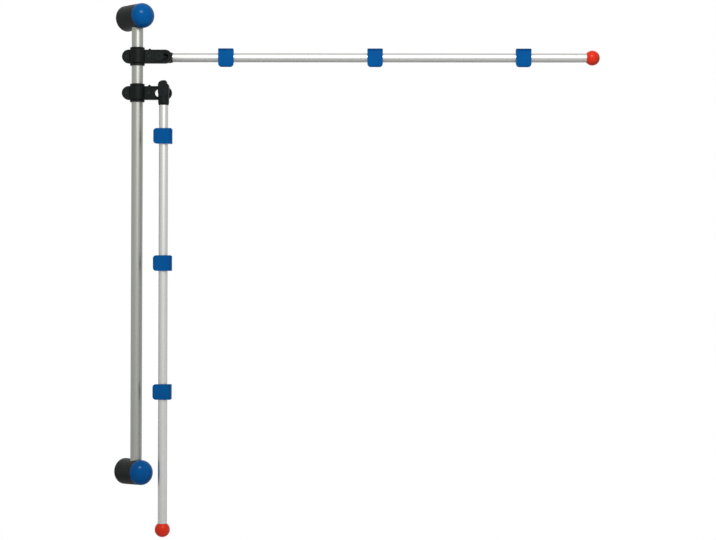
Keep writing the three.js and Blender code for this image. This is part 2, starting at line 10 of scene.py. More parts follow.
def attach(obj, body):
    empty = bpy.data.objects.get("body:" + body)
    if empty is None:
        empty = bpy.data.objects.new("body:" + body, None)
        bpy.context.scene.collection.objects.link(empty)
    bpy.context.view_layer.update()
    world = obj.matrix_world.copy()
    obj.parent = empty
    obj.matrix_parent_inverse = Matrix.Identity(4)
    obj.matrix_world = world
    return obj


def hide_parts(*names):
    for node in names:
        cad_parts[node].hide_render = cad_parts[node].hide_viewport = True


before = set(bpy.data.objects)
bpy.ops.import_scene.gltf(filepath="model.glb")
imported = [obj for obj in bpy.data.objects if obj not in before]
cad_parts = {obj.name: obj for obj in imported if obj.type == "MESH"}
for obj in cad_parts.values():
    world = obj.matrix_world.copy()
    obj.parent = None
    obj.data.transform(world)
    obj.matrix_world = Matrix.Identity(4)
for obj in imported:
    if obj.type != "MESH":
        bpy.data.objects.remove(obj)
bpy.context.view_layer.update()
scene = bpy.context.scene
scene.view_settings.view_transform = "Standard"
quarter = math.pi / 2

# what more than one piece is fitted to
rack = {
    "fit": 0.3,            # running and seating gap
    "standoff": 45,        # wall to column axis
    "spacing": 996,        # lower bracket to upper bracket
    "clampAt": {"upper": 908, "lower": 828},
    "armSide": {"upper": 1, "lower": -1},   # 1 is the wall side of the lug
    "pinAt": {"upper": 47.5, "lower": 59.5},   # column axis to the pivot pin
    "fold": {"upper": 0, "lower": 90},
    "swing": 38,           # degrees that the arms stand out from the wall
    "columnRadius": 12.5,
    "armRadius": 10,
    "socketRadius": 12,
    "armOffset": 18.3,     # clamp's middle plane to the arm's axis
    "lugHalf": 6,
    "slotRadius": 8.5,
    "shaftRadius": 5,
    "collarSink": 3.5,
    "cutOver": 1,          # how far a hole's tool passes the face that it starts from
    "smallSides": 24,      # facets of small holes and short arcs
    "weld": 1e-4,          # points closer than this are one
}


def hexToLinear(code):
    channels = [int(code[i:i + 2], 16) / 255 for i in (1, 3, 5)]
    return [c / 12.92 if c <= 0.04045 else ((c + 0.055) / 1.055) ** 2.4 for c in channels] + [1.0]


def addNode(tree, kind, links=None, **settings):
    node = tree.nodes.new(kind)
    for name, value in settings.items():
        setattr(node, name, value)
    for name, value in (links or {}).items():
        if isinstance(value, bpy.types.NodeSocket):
            tree.links.new(value, node.inputs[name])
        else:
            node.inputs[name].default_value = value
    return node


def linked(name, data):
    obj = bpy.data.objects.new(name, data)
    scene.collection.objects.link(obj)
    return obj


def weld(mesh):   # joins doubles and turns the faces outwards
    shape = bmesh.new()
    shape.from_mesh(mesh)
    bmesh.ops.remove_doubles(shape, verts=shape.verts, dist=rack["weld"])
    bmesh.ops.recalc_face_normals(shape, faces=shape.faces)
    shape.to_mesh(mesh)
    shape.free()


def solid(vertices, faces):
    mesh = bpy.data.meshes.new("blank")
    mesh.from_pydata(vertices, [], faces)
    weld(mesh)
    return linked("blank", mesh)


# corners are (x, y) or (x, y, radius); a radius rounds that corner
def filleted(corners, steps=5, loop=False):
    outline = []
    for i, corner in enumerate(corners):
        here = Vector(corner[:2])
        atEnd = not loop and i in (0, len(corners) - 1)
        if len(corner) == 2 or atEnd:
            outline.append(tuple(here))
            continue
        before = (Vector(corners[i - 1][:2]) - here).normalized()
        after = (Vector(corners[(i + 1) % len(corners)][:2]) - here).normalized()
        half = before.angle(after) / 2
        centre = here + (before + after).normalized() * corner[2] / math.sin(half)
        spokes = [here + side * corner[2] / math.tan(half) - centre for side in (before, after)]
        first, last = (math.atan2(s.y, s.x) for s in spokes)
        sweep = (last - first + math.pi) % (2 * math.pi) - math.pi
        for k in range(steps + 1):
            angle = first + sweep * k / steps
            outline.append((centre.x + corner[2] * math.cos(angle), centre.y + corner[2] * math.sin(angle)))
    return outline


def arc(x, y, radius, start, end, steps):
    angles = [math.radians(start + (end - start) * k / steps) for k in range(steps + 1)]
    return [(x + radius * math.cos(a), y + radius * math.sin(a)) for a in angles]


def bow(start, pull, end, steps=8):   # quadratic curve without its first point
    points = []
    for k in range(1, steps + 1):
        t = k / steps
        shares = (1 - t) ** 2, 2 * t * (1 - t), t * t
        trios = zip(start, pull, end)
        points.append(tuple(sum(share * value for share, value in zip(shares, trio)) for trio in trios))
    return points


# (radius, height) points turned round +Z; a profile that ends where it starts makes a ring
def turned(profile, sides=64):
    loop = profile[0] == profile[-1]
    vertices, rings, faces = [], [], []
    for radius, height in profile[:-1] if loop else profile:
        count = sides if radius > 1e-6 else 1
        rings.append(range(len(vertices), len(vertices) + count))
        turns = [2 * math.pi * k / sides for k in range(count)]
        vertices += [(radius * math.cos(t), radius * math.sin(t), height) for t in turns]
    for low, high in list(zip(rings, rings[1:])) + ([(rings[-1], rings[0])] if loop else []):
        for k in range(sides):
            around = [low[k % len(low)], low[(k + 1) % len(low)],
                      high[(k + 1) % len(high)], high[k % len(high)]]
            corners = list(dict.fromkeys(around))
            if len(corners) > 2:
                faces.append(corners)
    return solid(vertices, faces)


def rod(radius, low, high, sides=48, edge=0.0):
    corners = [(0, low), (radius, low, edge), (radius, high, edge), (0, high)]
    return turned(filleted(corners, 3) if edge else [c[:2] for c in corners], sides)


# an outline made into a plate about its own plane, with rounded edges
def slab(outline, thickness, edge=0.0, steps=3, mitreLimit=0.4):
    if sum(p[0] * q[1] - q[0] * p[1] for p, q in zip(outline, outline[1:] + outline[:1])) < 0:
        outline = outline[::-1]
    clean = [p for i, p in enumerate(outline) if (Vector(p) - Vector(outline[i - 1])).length > rack["weld"]]
    inward = []
    for i, point in enumerate(clean):
        ahead = (Vector(clean[(i + 1) % len(clean)]) - Vector(point)).normalized()
        behind = (Vector(point) - Vector(clean[i - 1])).normalized()
        normals = [Vector((-d.y, d.x)) for d in (behind, ahead)]
        inward.append((normals[0] + normals[1]) / max(mitreLimit, 1 + normals[0].dot(normals[1])))
    turns = [quarter * k / steps for k in range(steps + 1)] if edge else [quarter]
    layers = [(edge * (1 - math.sin(t)), edge * (1 - math.cos(t)) - thickness / 2) for t in turns]
    layers += [(inset, -height) for inset, height in reversed(layers)]
    vertices, faces = [], []
    for inset, height in layers:
        vertices += [(p[0] + inset * n.x, p[1] + inset * n.y, height) for p, n in zip(clean, inward)]
    count = len(clean)
    for row in range(len(layers) - 1):
        for k in range(count):
            n = (k + 1) % count
            faces.append((row * count + k, row * count + n, (row + 1) * count + n, (row + 1) * count + k))
    faces += [tuple(range(count))[::-1], tuple(range((len(layers) - 1) * count, len(layers) * count))]
    return solid(vertices, faces)


def moved(obj, x=0.0, y=0.0, z=0.0):
    obj.data.transform(Matrix.Translation((x, y, z)))
    return obj


def alongX(obj):
    obj.data.transform(Matrix.Rotation(quarter, 4, "Y"))
    return obj


def alongY(obj, side=1):
    obj.data.transform(Matrix.Rotation(-side * quarter, 4, "X"))
    return obj


def upright(obj):   # a drawing's x and y become x and z
    obj.data.transform(Matrix.Rotation(quarter, 4, "X"))
    return obj


def across(obj):    # a drawing's x points to the front, its y up, and its thickness runs along the arm
    obj.data.transform(Matrix(((0, 0, -1, 0), (-1, 0, 0, 0), (0, 1, 0, 0), (0, 0, 0, 1))))
    return obj


def drop(obj):
    mesh = obj.data
    bpy.data.objects.remove(obj)
    bpy.data.meshes.remove(mesh)


def settled(obj):   # what the modifiers give becomes the mesh
    bpy.context.view_layer.update()
    graph = bpy.context.evaluated_depsgraph_get()
    mesh = bpy.data.meshes.new_from_object(obj.evaluated_get(graph))
    old = obj.data
    obj.modifiers.clear()
    obj.data = mesh
    bpy.data.meshes.remove(old)
    return obj


def shaped(base, operation, *tools):
    for tool in tools:
        change = base.modifiers.new("shape", "BOOLEAN")
        change.operation = operation
        change.solver = "MANIFOLD"
        change.object = tool
    settled(base)
    for tool in tools:
        drop(tool)
    return base


def softened(obj, width, steps=2, angle=32):
    edge = obj.modifiers.new("edges", "BEVEL")
    edge.width = width
    edge.segments = steps
    edge.limit_method = "ANGLE"
    edge.angle_limit = math.radians(angle)
    return settled(obj)


def twin(obj):
    return linked("blank", obj.data.copy())


def unrolled(obj, radius):   # a tube's surface in metres: round it, and along it
    layer = obj.data.uv_layers.new(name="tubeUnrolled")
    for face in obj.data.polygons:
        middle = math.atan2(face.center.y, face.center.x)
        for loop in face.loop_indices:
            spot = obj.data.vertices[obj.data.loops[loop].vertex_index].co
            turn = (math.atan2(spot.y, spot.x) - middle + math.pi) % (2 * math.pi) - math.pi + middle
            layer.data[loop].uv = (turn * radius / 1000, spot.z / 1000)
    return obj


# puts a drawn piece in its place, in metres, and gives it its finish and body
def place(obj, name, spot, body, slotName, finish, *nodes, smooth=32):
    obj.data.transform(Matrix.Scale(0.001, 4) @ spot)
    obj.name = name
    obj.data.name = name
    obj.data.materials.clear()
    obj.data.materials.append(finish)
    obj.data.shade_smooth()
    obj.data.set_sharp_from_angle(angle=math.radians(smooth))
    even = obj.modifiers.new("even", "WEIGHTED_NORMAL")
    even.keep_sharp = True
    settled(obj)
    obj.data.name = name
    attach(obj, body)
    if nodes:
        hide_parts(*nodes)
    return obj


def clampFrame(end):
    return (Matrix.Translation((0, -rack["standoff"], rack["clampAt"][end]))
            @ Matrix.Rotation(-math.radians(rack["swing"]), 4, "Z"))


def armFrame(end):
    pin = Matrix.Translation((rack["pinAt"][end], rack["armSide"][end] * rack["armOffset"], 0))
    return clampFrame(end) @ pin @ Matrix.Rotation(math.radians(rack["fold"][end]), 4, "Y")


def newFinish(name):
    finish = bpy.data.materials.new(name)
    finish.use_nodes = True
    tree = finish.node_tree
    tree.nodes.clear()
    shader = addNode(tree, "ShaderNodeBsdfPrincipled")
    addNode(tree, "ShaderNodeOutputMaterial", {"Surface": shader.outputs["BSDF"]})
    return finish, tree, shader


noiseBand = (0.3, 0.7)   # where most of a noise lies


# a noise in object space, one blob for each grain of the given size in millimetres
def grainNoise(tree, grain, detail):
    vector = addNode(tree, "ShaderNodeTexCoord").outputs["Object"]
    noise = addNode(tree, "ShaderNodeTexNoise", {"Vector": vector, "Scale": 1000 / grain, "Detail": detail})
    return noise.outputs["Fac"]


def spread(tree, value, low, high):
    return addNode(tree, "ShaderNodeMapRange", {"Value": value, "From Min": noiseBand[0],
                                                "From Max": noiseBand[1], "To Min": low,
                                                "To Max": high}).outputs["Result"]


def blendColours(tree, value, dark, light):
    ramp = addNode(tree, "ShaderNodeValToRGB", {"Fac": value})
    for stop, at, tone in zip(ramp.color_ramp.elements, noiseBand, (dark, light)):
        stop.position = at
        stop.color = hexToLinear(tone)
    return ramp.outputs["Color"]


# column and arms are one satin aluminium in two tones: the column's copy is toned darker as painted shade
# and the arms' copy paler as painted light, for how each tube catches the light
tubeFinish = {
    "column": {"name": "satinAnodisedAluminium", "dark": "#8f918b", "light": "#9b9c96"},
    "arm": {"name": "paleAnodisedAluminium", "dark": "#b6b7b4", "light": "#c0c1be"},
    "roughness": (0.4, 0.46),
    "lineWidth": 0.9,     # mm; real draw lines are about 0.1, too fine to show
    "lineLength": 900,    # mm
    "lineDepth": 0.0015,  # mm
    "lineStrength": 0.4,
    "lineDetail": 3.0,
}


# extruded aluminium, etched and satin anodised: soft metal shine with faint lines along the tube
def anodisedAluminium(kind):
    looks = tubeFinish[kind]
    finish, tree, shader = newFinish(looks["name"])
    unroll = addNode(tree, "ShaderNodeUVMap", uv_map="tubeUnrolled").outputs["UV"]
    scale = (1000 / tubeFinish["lineWidth"], 1000 / tubeFinish["lineLength"], 1)
    lines = addNode(tree, "ShaderNodeMapping", {"Vector": unroll, "Scale": scale}).outputs["Vector"]
    noise = addNode(tree, "ShaderNodeTexNoise", {"Vector": lines, "Scale": 1.0,
                                                 "Detail": tubeFinish["lineDetail"]})
    drawn = noise.outputs["Fac"]
    bump = addNode(tree, "ShaderNodeBump", {"Height": drawn, "Strength": tubeFinish["lineStrength"],
                                            "Distance": tubeFinish["lineDepth"] / 1000})
    tone = blendColours(tree, drawn, looks["dark"], looks["light"])
    tree.links.new(tone, shader.inputs["Base Color"])
    tree.links.new(spread(tree, drawn, *tubeFinish["roughness"]), shader.inputs["Roughness"])
    tree.links.new(bump.outputs["Normal"], shader.inputs["Normal"])
    shader.inputs["Metallic"].default_value = 1.0
    return finish


plasticFinishes = {
    # tone, roughness and relief of each moulding; grain sizes in mm
    "black": {"name": "sparkGrainedBlackNylon", "dark": "#0a0f0e", "light": "#0f1413",
              "roughness": (0.4, 0.52), "grain": 1.1, "depth": 0.012, "flow": 30, "specular": 0.09},
    "blue": {"name": "glossyBlueAbs", "dark": "#004a88", "light": "#00508f", "roughness": (0.16, 0.22),
             "grain": 3.5, "depth": 0.004, "flow": 45, "specular": 0.06},
    "red": {"name": "glossyRedAbs", "dark": "#cf2a15", "light": "#d8321c", "roughness": (0.26, 0.34),
            "grain": 3.0, "depth": 0.004, "flow": 40, "specular": 0.12},
    "grainDetail": 3.0, "flowDetail": 1.0, "grainStrength": 0.5, "ior": 1.5,
}


# injection moulding: black has a fine eroded grain (real grit about 0.1 mm, drawn coarser so that it shows),
# blue and red come from a polished tool and keep only a slight waviness and flow tone
def mouldedPlastic(kind):
    looks = plasticFinishes[kind]
    finish, tree, shader = newFinish(looks["name"])
    grain = grainNoise(tree, looks["grain"], plasticFinishes["grainDetail"])
    flow = grainNoise(tree, looks["flow"], plasticFinishes["flowDetail"])
    bump = addNode(tree, "ShaderNodeBump", {"Height": grain, "Strength": plasticFinishes["grainStrength"],
                                            "Distance": looks["depth"] / 1000})
    tree.links.new(blendColours(tree, flow, looks["dark"], looks["light"]), shader.inputs["Base Color"])
    tree.links.new(spread(tree, grain, *looks["roughness"]), shader.inputs["Roughness"])
    tree.links.new(bump.outputs["Normal"], shader.inputs["Normal"])
    shader.inputs["IOR"].default_value = plasticFinishes["ior"]
    shader.inputs["Specular IOR Level"].default_value = looks["specular"]
    return finish


metalFinishes = {
    "zinc": {"name": "brightZincPlatedSteel", "dark": "#8f9396", "light": "#a3a7a9",
             "roughness": (0.26, 0.4), "grain": 1.4},
    "spring": {"name": "drawnSpringSteel", "dark": "#6d7073", "light": "#85888a", "roughness": (0.24, 0.34),
               "grain": 0.8},
    "blackened": {"name": "blackenedSteel", "dark": "#1c1e20", "light": "#2a2d2e", "roughness": (0.4, 0.52),
                  "grain": 1.0},
    "cloudDetail": 3.0,
}


# small steel parts: plating, wire drawing and oxide leave a slightly clouded shine
def smallSteel(kind):
    looks = metalFinishes[kind]
    finish, tree, shader = newFinish(looks["name"])
    cloud = grainNoise(tree, looks["grain"], metalFinishes["cloudDetail"])
    tree.links.new(blendColours(tree, cloud, looks["dark"], looks["light"]), shader.inputs["Base Color"])
    tree.links.new(spread(tree, cloud, *looks["roughness"]), shader.inputs["Roughness"])
    shader.inputs["Metallic"].default_value = 1.0
    return finish


columnAluminium, armAluminium = (anodisedAluminium(kind) for kind in ("column", "arm"))
blackNylon, blueAbs, redAbs = (mouldedPlastic(kind) for kind in ("black", "blue", "red"))
zincSteel, springSteel, blackSteel = (smallSteel(kind) for kind in ("zinc", "spring", "blackened"))
print("finishes: 8")


def newTree(name, sockets):
    tree = bpy.data.node_groups.new(name, "GeometryNodeTree")
    for label, kind in sockets.items():
        tree.interface.new_socket(label, in_out="INPUT", socket_type=kind)
    tree.interface.new_socket("made", in_out="OUTPUT", socket_type="NodeSocketGeometry")
    return tree, addNode(tree, "NodeGroupInput").outputs


def closeTree(tree, geometry, finish):
    single = addNode(tree, "GeometryNodeRealizeInstances", {"Geometry": geometry})
    painted = addNode(tree, "GeometryNodeSetMaterial", {"Geometry": single.outputs[0], "Material": finish})
    addNode(tree, "NodeGroupOutput", {"made": painted.outputs[0]})
    return tree


def grown(obj, tree, **values):
    grow = obj.modifiers.new("grow", "NODES")
    grow.node_group = tree
    for item in tree.interface.items_tree:
        if item.in_out == "INPUT" and item.name in values:
            grow[item.identifier] = values[item.name]
    settled(obj)
    weld(obj.data)
    return obj


# a round wire along a line of points
def wireTree():
    tree, given = newTree("bentWire", {"path": "NodeSocketGeometry", "wireRadius": "NodeSocketFloat",
                                       "sides": "NodeSocketInt", "finish": "NodeSocketMaterial"})
    line = addNode(tree, "GeometryNodeMeshToCurve", {"Mesh": given["path"]})
    section = addNode(tree, "GeometryNodeCurvePrimitiveCircle",
                      {"Resolution": given["sides"], "Radius": given["wireRadius"]})
    wire = addNode(tree, "GeometryNodeCurveToMesh", {"Curve": line.outputs["Curve"], "Fill Caps": True,
                                                     "Profile Curve": section.outputs["Curve"]})
    return closeTree(tree, wire.outputs["Mesh"], given["finish"])


# one fastener on each point
def fastenerTree():
    tree, given = newTree("fastenersOnPoints", {
        "points": "NodeSocketGeometry", "fastener": "NodeSocketObject",
        "size": "NodeSocketFloat", "finish": "NodeSocketMaterial"})
    master = addNode(tree, "GeometryNodeObjectInfo", {"Object": given["fastener"], "As Instance": True})
    copies = addNode(tree, "GeometryNodeInstanceOnPoints", {
        "Points": given["points"], "Scale": given["size"], "Instance": master.outputs["Geometry"]})
    return closeTree(tree, copies.outputs["Instances"], given["finish"])


bentWire = wireTree()
fasteners = fastenerTree()


def pointObject(points, joined=False):
    mesh = bpy.data.meshes.new("points")
    edges = [(i, i + 1) for i in range(len(points) - 1)] if joined else []
    mesh.from_pydata(points, edges, [])
    return linked("points", mesh)


columnSizes = {"wall": 1.5, "endShy": 6, "sides": 96, "edge": 0.3}


def column():
    outer = rack["columnRadius"]
    inner = outer - columnSizes["wall"]
    low, high = columnSizes["endShy"], rack["spacing"] - columnSizes["endShy"]
    edge = columnSizes["edge"]
    loop = filleted([(inner, low, edge), (outer, low, edge),
                     (outer, high, edge), (inner, high, edge)], 3, True)
    tube = unrolled(turned(loop + loop[:1], columnSizes["sides"]), outer)
    place(tube, "column", Matrix.Translation((0, -rack["standoff"], 0)), "wall_frame", "satin_aluminium",
          columnAluminium, "column_tube")


bracketSizes = {
    "radiusAtWall": 28.5, "radiusAtCap": 27.25, "depth": 62, "wallEdge": 1.4, "capEdge": 0.5, "sides": 96,
    "screwHole": 3.3, "screwWell": 6.5, "screwFloor": 8, "screwOffset": 13.5,
    "lockHole": 2.8, "lockOffset": 17, "columnStop": 5.7,
}
capSizes = {"skirt": 3, "dome": 22.5, "wall": 2.4, "spigot": 24, "spigotWall": 2, "spigotDepth": 3.4,
            "seamEdge": 0.6, "tipEdge": 0.4, "steps": 24, "sides": 96}


def bracket(end, spot):
    b, fit = bracketSizes, rack["fit"]
    body = turned(filleted([(0, 0), (b["radiusAtWall"], 0, b["wallEdge"]),
                            (b["radiusAtCap"], b["depth"], b["capEdge"]), (0, b["depth"])]), b["sides"])
    front = b["depth"] + rack["cutOver"]
    socket = rod(rack["columnRadius"] + fit, b["columnStop"], 2 * b["radiusAtWall"], b["sides"])
    moved(alongY(socket), z=rack["standoff"])
    groove = capSizes["spigot"] - capSizes["spigotWall"] - fit, capSizes["spigot"] + fit
    floor = b["depth"] - capSizes["spigotDepth"] - fit
    seat = turned([(groove[0], floor), (groove[1], floor), (groove[1], front), (groove[0], front),
                   (groove[0], floor)], b["sides"])
    well = moved(rod(b["screwWell"], b["screwFloor"], front), y=-b["screwOffset"])
    hole = moved(rod(b["screwHole"], -rack["cutOver"], front), y=-b["screwOffset"])
    lock = moved(rod(b["lockHole"], rack["standoff"], front, rack["smallSides"]), y=b["lockOffset"])
    shaped(body, "DIFFERENCE", socket, seat, well, hole, lock)
    place(body, end + "Bracket", spot, "wall_frame", "black_plastic", blackNylon, end + "_bracket")


def bracketCap(end, spot):
    c, fit = capSizes, rack["fit"]
    seat = bracketSizes["depth"] + fit
    equator = seat + c["skirt"]
    tip = bracketSizes["depth"] - c["spigotDepth"]
    radius, inner = bracketSizes["radiusAtCap"], c["spigot"] - c["spigotWall"]
    turns = [quarter * k / c["steps"] for k in range(c["steps"] + 1)]
    inside = [(inner * math.sin(t), equator + (c["dome"] - c["wall"]) * math.cos(t)) for t in turns]
    outside = [(radius * math.cos(t), equator + c["dome"] * math.sin(t)) for t in turns]
    inside[0], outside[-1] = (0, inside[0][1]), (0, outside[-1][1])
    skirt = filleted([(inner, tip), (c["spigot"], tip, c["tipEdge"]), (c["spigot"], seat),
                      (radius, seat, c["seamEdge"]), (radius, equator)], 4)
    cap = turned(inside + skirt[:-1] + outside, c["sides"])
    place(cap, end + "BracketCap", spot, "wall_frame", "blue_plastic", blueAbs, end + "_bracket_cap")


sleeveSizes = {"bore": 12.8, "groove": 14, "flange": 16.1, "grooveHalf": 15.3, "half": 20, "edge": 1.3,
               "innerEdge": 0.3, "screwHole": 1.8, "screwAt": 17.65, "sides": 96}


def sleeve(end):
    s = sleeveSizes
    half = [(s["groove"], s["grooveHalf"]), (s["flange"], s["grooveHalf"], s["innerEdge"]),
            (s["flange"], s["half"], s["edge"]), (s["bore"], s["half"], s["innerEdge"])]
    low = [(c[0], -c[1], *c[2:]) for c in reversed(half)]
    loop = filleted(low + half, 4, True)
    body = turned(loop + loop[:1], s["sides"])
    outside = s["flange"] + rack["cutOver"]
    hole = alongY(rod(s["screwHole"], rack["columnRadius"], outside, rack["smallSides"]))
    moved(hole, z=s["screwAt"])
    shaped(body, "DIFFERENCE", hole)
    spot = Matrix.Translation((0, -rack["standoff"], rack["clampAt"][end]))
    place(body, end + "Sleeve", spot, "wall_frame", "black_plastic", blackNylon, end + "_sleeve")


clampSizes = {
    "half": 15, "shell": 18, "bore": 14.3, "edge": 1.4, "ear": 33.5, "lug": 76, "screwAt": 24.5,
    "headHole": 3.9, "headSink": 3, "shankHole": 2.3, "nutHole": 4.3, "nutSink": 3,
    "tooth": 3, "toothAt": 27, "slotFrom": 39, "slotTo": 68, "rim": 2.5, "pocket": 2, "pocketFrom": 30.6,
    "pocketCorner": 1.5, "pocketMiddle": 50, "toothEdge": 0.4, "softEdge": 0.25, "room": 400,
    "split": 0.3, "arcSteps": 24, "sides": 96, "headSides": 32, "nutSides": 6,
}


def stadium(low, high, radius, steps):
    return arc(high - radius, 0, radius, -90, 90, steps) + arc(low + radius, 0, radius, 90, 270, steps)


def clampScrewRoom(at):
    c, lug = clampSizes, rack["lugHalf"]
    return [moved(tool, x=at) for tool in (
        alongY(rod(c["shankHole"], -2 * lug, 2 * lug, rack["smallSides"])),
        alongY(rod(c["headHole"], lug - c["headSink"], 2 * lug, c["headSides"]), -1),
        alongY(rod(c["nutHole"], lug - c["nutSink"], 2 * lug, c["nutSides"])),
    )]


def clampBlank(end):
    c, lug, side = clampSizes, rack["lugHalf"], rack["armSide"][end]
    blank = upright(slab(stadium(-c["ear"], c["lug"], c["half"], c["arcSteps"]), 2 * lug, c["edge"], 4))
    bulge = turned(filleted([(0, -c["half"]), (c["shell"], -c["half"], c["edge"]),
                             (c["shell"], c["half"], c["edge"]), (0, c["half"])], 4), c["sides"])
    tooth = alongY(rod(c["tooth"], rack["fit"], lug - c["edge"], rack["smallSides"], c["toothEdge"]), side)
    moved(tooth, x=c["toothAt"], z=c["half"])
    shaped(blank, "UNION", bulge, tooth)
    bore = rod(c["bore"], -2 * c["half"], 2 * c["half"], c["sides"])
    slot = upright(slab(stadium(c["slotFrom"], c["slotTo"], rack["slotRadius"], c["arcSteps"]), 4 * lug))
    half = c["half"] - c["rim"]
    floor = [(c["pocketFrom"], half, c["pocketCorner"]), (c["pocketFrom"], -half, c["pocketCorner"])]
    outline = filleted([(c["pocketMiddle"], half)] + floor + [(c["pocketMiddle"], -half)])
    outline += arc(c["lug"] - c["rim"] - half, 0, half, -90, 90, c["arcSteps"])
    pockets = [moved(upright(slab(outline, 2 * c["pocket"])), y=face * lug) for face in (-1, 1)]
    rooms = [tool for at in (-c["screwAt"], c["screwAt"]) for tool in clampScrewRoom(at)]
    return shaped(blank, "DIFFERENCE", bore, slot, *pockets, *rooms)


def clampShells(end):
    blank = clampBlank(end)
    size = clampSizes["room"]
    for half, side in (("front", -1), ("back", 1)):
        room = slab([(-size, -size), (size, -size), (size, size), (-size, size)], size)
        moved(upright(room), y=side * (size + clampSizes["split"]) / 2)
        shell = softened(shaped(twin(blank), "INTERSECT", room), clampSizes["softEdge"])
        place(shell, end + "Clamp" + half.title(), clampFrame(end), end + "_clamp", "black_plastic",
              blackNylon, f"{end}_clamp_{half}_shell")
    drop(blank)


fastenerSizes = {"shank": 2, "head": 3.6, "headHeight": 2.4, "key": 1.5, "keyDepth": 1.2,
                 "tip": -5.7, "top": 5.7, "nutCorner": 4, "nutHeight": 2.4,
                 "edge": 0.5, "underEdge": 0.2, "nutFall": 0.4, "nutInset": 0.7, "sides": 32,
                 "hexSides": 6, "domeSides": 48}


def capScrew():
    f = fastenerSizes
    under = f["top"] - f["headHeight"]
    profile = [(0, f["tip"]), (f["shank"], f["tip"], f["edge"]), (f["shank"], under),
               (f["head"], under, f["underEdge"]), (f["head"], f["top"], f["edge"]), (0, f["top"])]
    screw = turned(filleted(profile, 4), f["sides"])
    key = rod(f["key"], f["top"] - f["keyDepth"], f["top"] + rack["cutOver"], f["hexSides"])
    return alongY(shaped(screw, "DIFFERENCE", key), -1)


def hexNut():
    f = fastenerSizes
    low = f["top"] - f["nutHeight"]
    nut = rod(f["nutCorner"], low, f["top"], f["hexSides"])
    dome = turned([(0, low), (f["nutCorner"], low), (f["nutCorner"], f["top"] - f["nutFall"]),
                   (f["nutCorner"] - f["nutInset"], f["top"]), (0, f["top"])], f["domeSides"])
    shaped(nut, "INTERSECT", dome)
    hole = rod(f["shank"] + rack["fit"], 0, 2 * f["top"], f["sides"])
    return alongY(shaped(nut, "DIFFERENCE", hole))


def clampFasteners(end):
    reach = clampSizes["screwAt"]
    for kind, master in (("screw", capScrew()), ("nut", hexNut())):
        group = grown(pointObject([(-reach, 0, 0), (reach, 0, 0)]), fasteners, fastener=master, size=1.0,
                      finish=blackSteel)
        drop(master)
        place(group, f"{end}Clamp{kind.title()}s", clampFrame(end), end + "_clamp", "blackened_steel",
              blackSteel, f"{end}_clamp_ear_{kind}", f"{end}_clamp_neck_{kind}")


pivotSizes = {"flange": 10.8, "flangeThickness": 1.6, "web": 4, "collarWidth": 1.7, "collarHeight": 2.6,
              "dimple": 2.2, "dimpleDepth": 0.8, "edge": 0.5, "innerEdge": 0.2, "bossEdge": 0.3,
              "shaftEdge": 0.8, "collarEdge": 0.4, "sides": 64}


def pivot(end):
    p, fit, lug = pivotSizes, rack["fit"], rack["lugHalf"]
    side = rack["armSide"][end]
    back = -(p["web"] + fit + p["flangeThickness"])
    top = rack["armOffset"] + rack["socketRadius"] - 2 * fit
    boss, shaft = rack["slotRadius"] - fit, rack["shaftRadius"]
    sunk, under = back + p["dimpleDepth"], back + p["flangeThickness"]
    pin = turned(filleted([(0, sunk), (p["dimple"], sunk), (p["dimple"] + p["dimpleDepth"], back),
                           (p["flange"], back, p["edge"]), (p["flange"], under, p["innerEdge"]),
                           (boss, under), (boss, lug, p["bossEdge"]), (shaft, lug),
                           (shaft, top, p["shaftEdge"]), (0, top)], 4), p["sides"])
    spot = clampFrame(end) @ Matrix.Translation((rack["pinAt"][end], 0, 0))
    place(alongY(pin, side), end + "PivotPin", spot, end + "_pivot", "black_plastic", blackNylon,
          end + "_pivot_pin")
    low = rack["armOffset"] + rack["socketRadius"] - rack["collarSink"] + fit
    inner, outer = shaft + fit, shaft + fit + p["collarWidth"]
    high = low + p["collarHeight"]
    loop = filleted([(inner, low, p["innerEdge"]), (outer, low, p["innerEdge"]),
                     (outer, high, p["collarEdge"]), (inner, high, p["innerEdge"])], 3, True)
    collar = alongY(turned(loop + loop[:1], p["sides"]), side)
    place(collar, end + "PivotCollar", spot, end + "_pivot", "blackened_steel", blackSteel,
          end + "_pivot_collar")


socketSizes = {"reach": 28.5, "taper": 4.5, "tail": 25, "beak": 7.6, "notch": 2.6, "tubeStart": 13,
               "edge": 1.6, "mouthRound": 1.5, "softEdge": 0.25, "collarRoom": 7.3, "arcSteps": 24,
               "sides": 80, "recessSides": 64}


def armSocket(end):
    s, radius, fit = socketSizes, rack["socketRadius"], rack["fit"]
    notchAt = -(radius + s["tail"]) / 2
    outline = arc(0, 0, radius, -90, 90, s["arcSteps"]) + [(-radius, radius)]
    outline += bow((-radius, radius), (notchAt, radius), (notchAt, s["beak"] - s["notch"]))
    outline += [(-s["tail"] + s["notch"], s["beak"])]
    outline += [(-s["tail"], s["beak"] - s["notch"]), (-s["tail"], 0)]
    outline += bow((-s["tail"], 0), (-s["tail"], -radius), (-radius, -radius))
    hub = upright(slab(outline, 2 * radius, s["edge"], 4))
    lip = rack["armRadius"] + 2 * fit
    mouth = s["reach"]
    profile = [(0, 0), (radius, 0), (radius, mouth - s["taper"], s["mouthRound"]), (lip, mouth), (0, mouth)]
    barrel = alongX(turned(filleted(profile, 4), s["sides"]))
    shaped(hub, "UNION", barrel)
    bore = alongX(rod(rack["armRadius"] + fit, s["tubeStart"] - fit, mouth + rack["cutOver"], s["sides"]))
    pinHole = alongY(rod(rack["shaftRadius"] + fit, -2 * radius, 2 * radius))
    recess = rod(s["collarRoom"], radius - rack["collarSink"], 2 * radius, s["recessSides"])
    alongY(recess, rack["armSide"][end])
    shaped(hub, "DIFFERENCE", bore, pinHole, recess)
    softened(hub, s["softEdge"])
    place(hub, end + "ArmSocket", armFrame(end), end + "_arm", "black_plastic", blackNylon,
          end + "_arm_socket")


armSizes = {"wall": 1.5, "length": 951, "ball": 16.5, "ballSeat": 2, "ballSteps": 40, "sides": 80,
            "edge": 0.3, "mouthFall": 0.4}


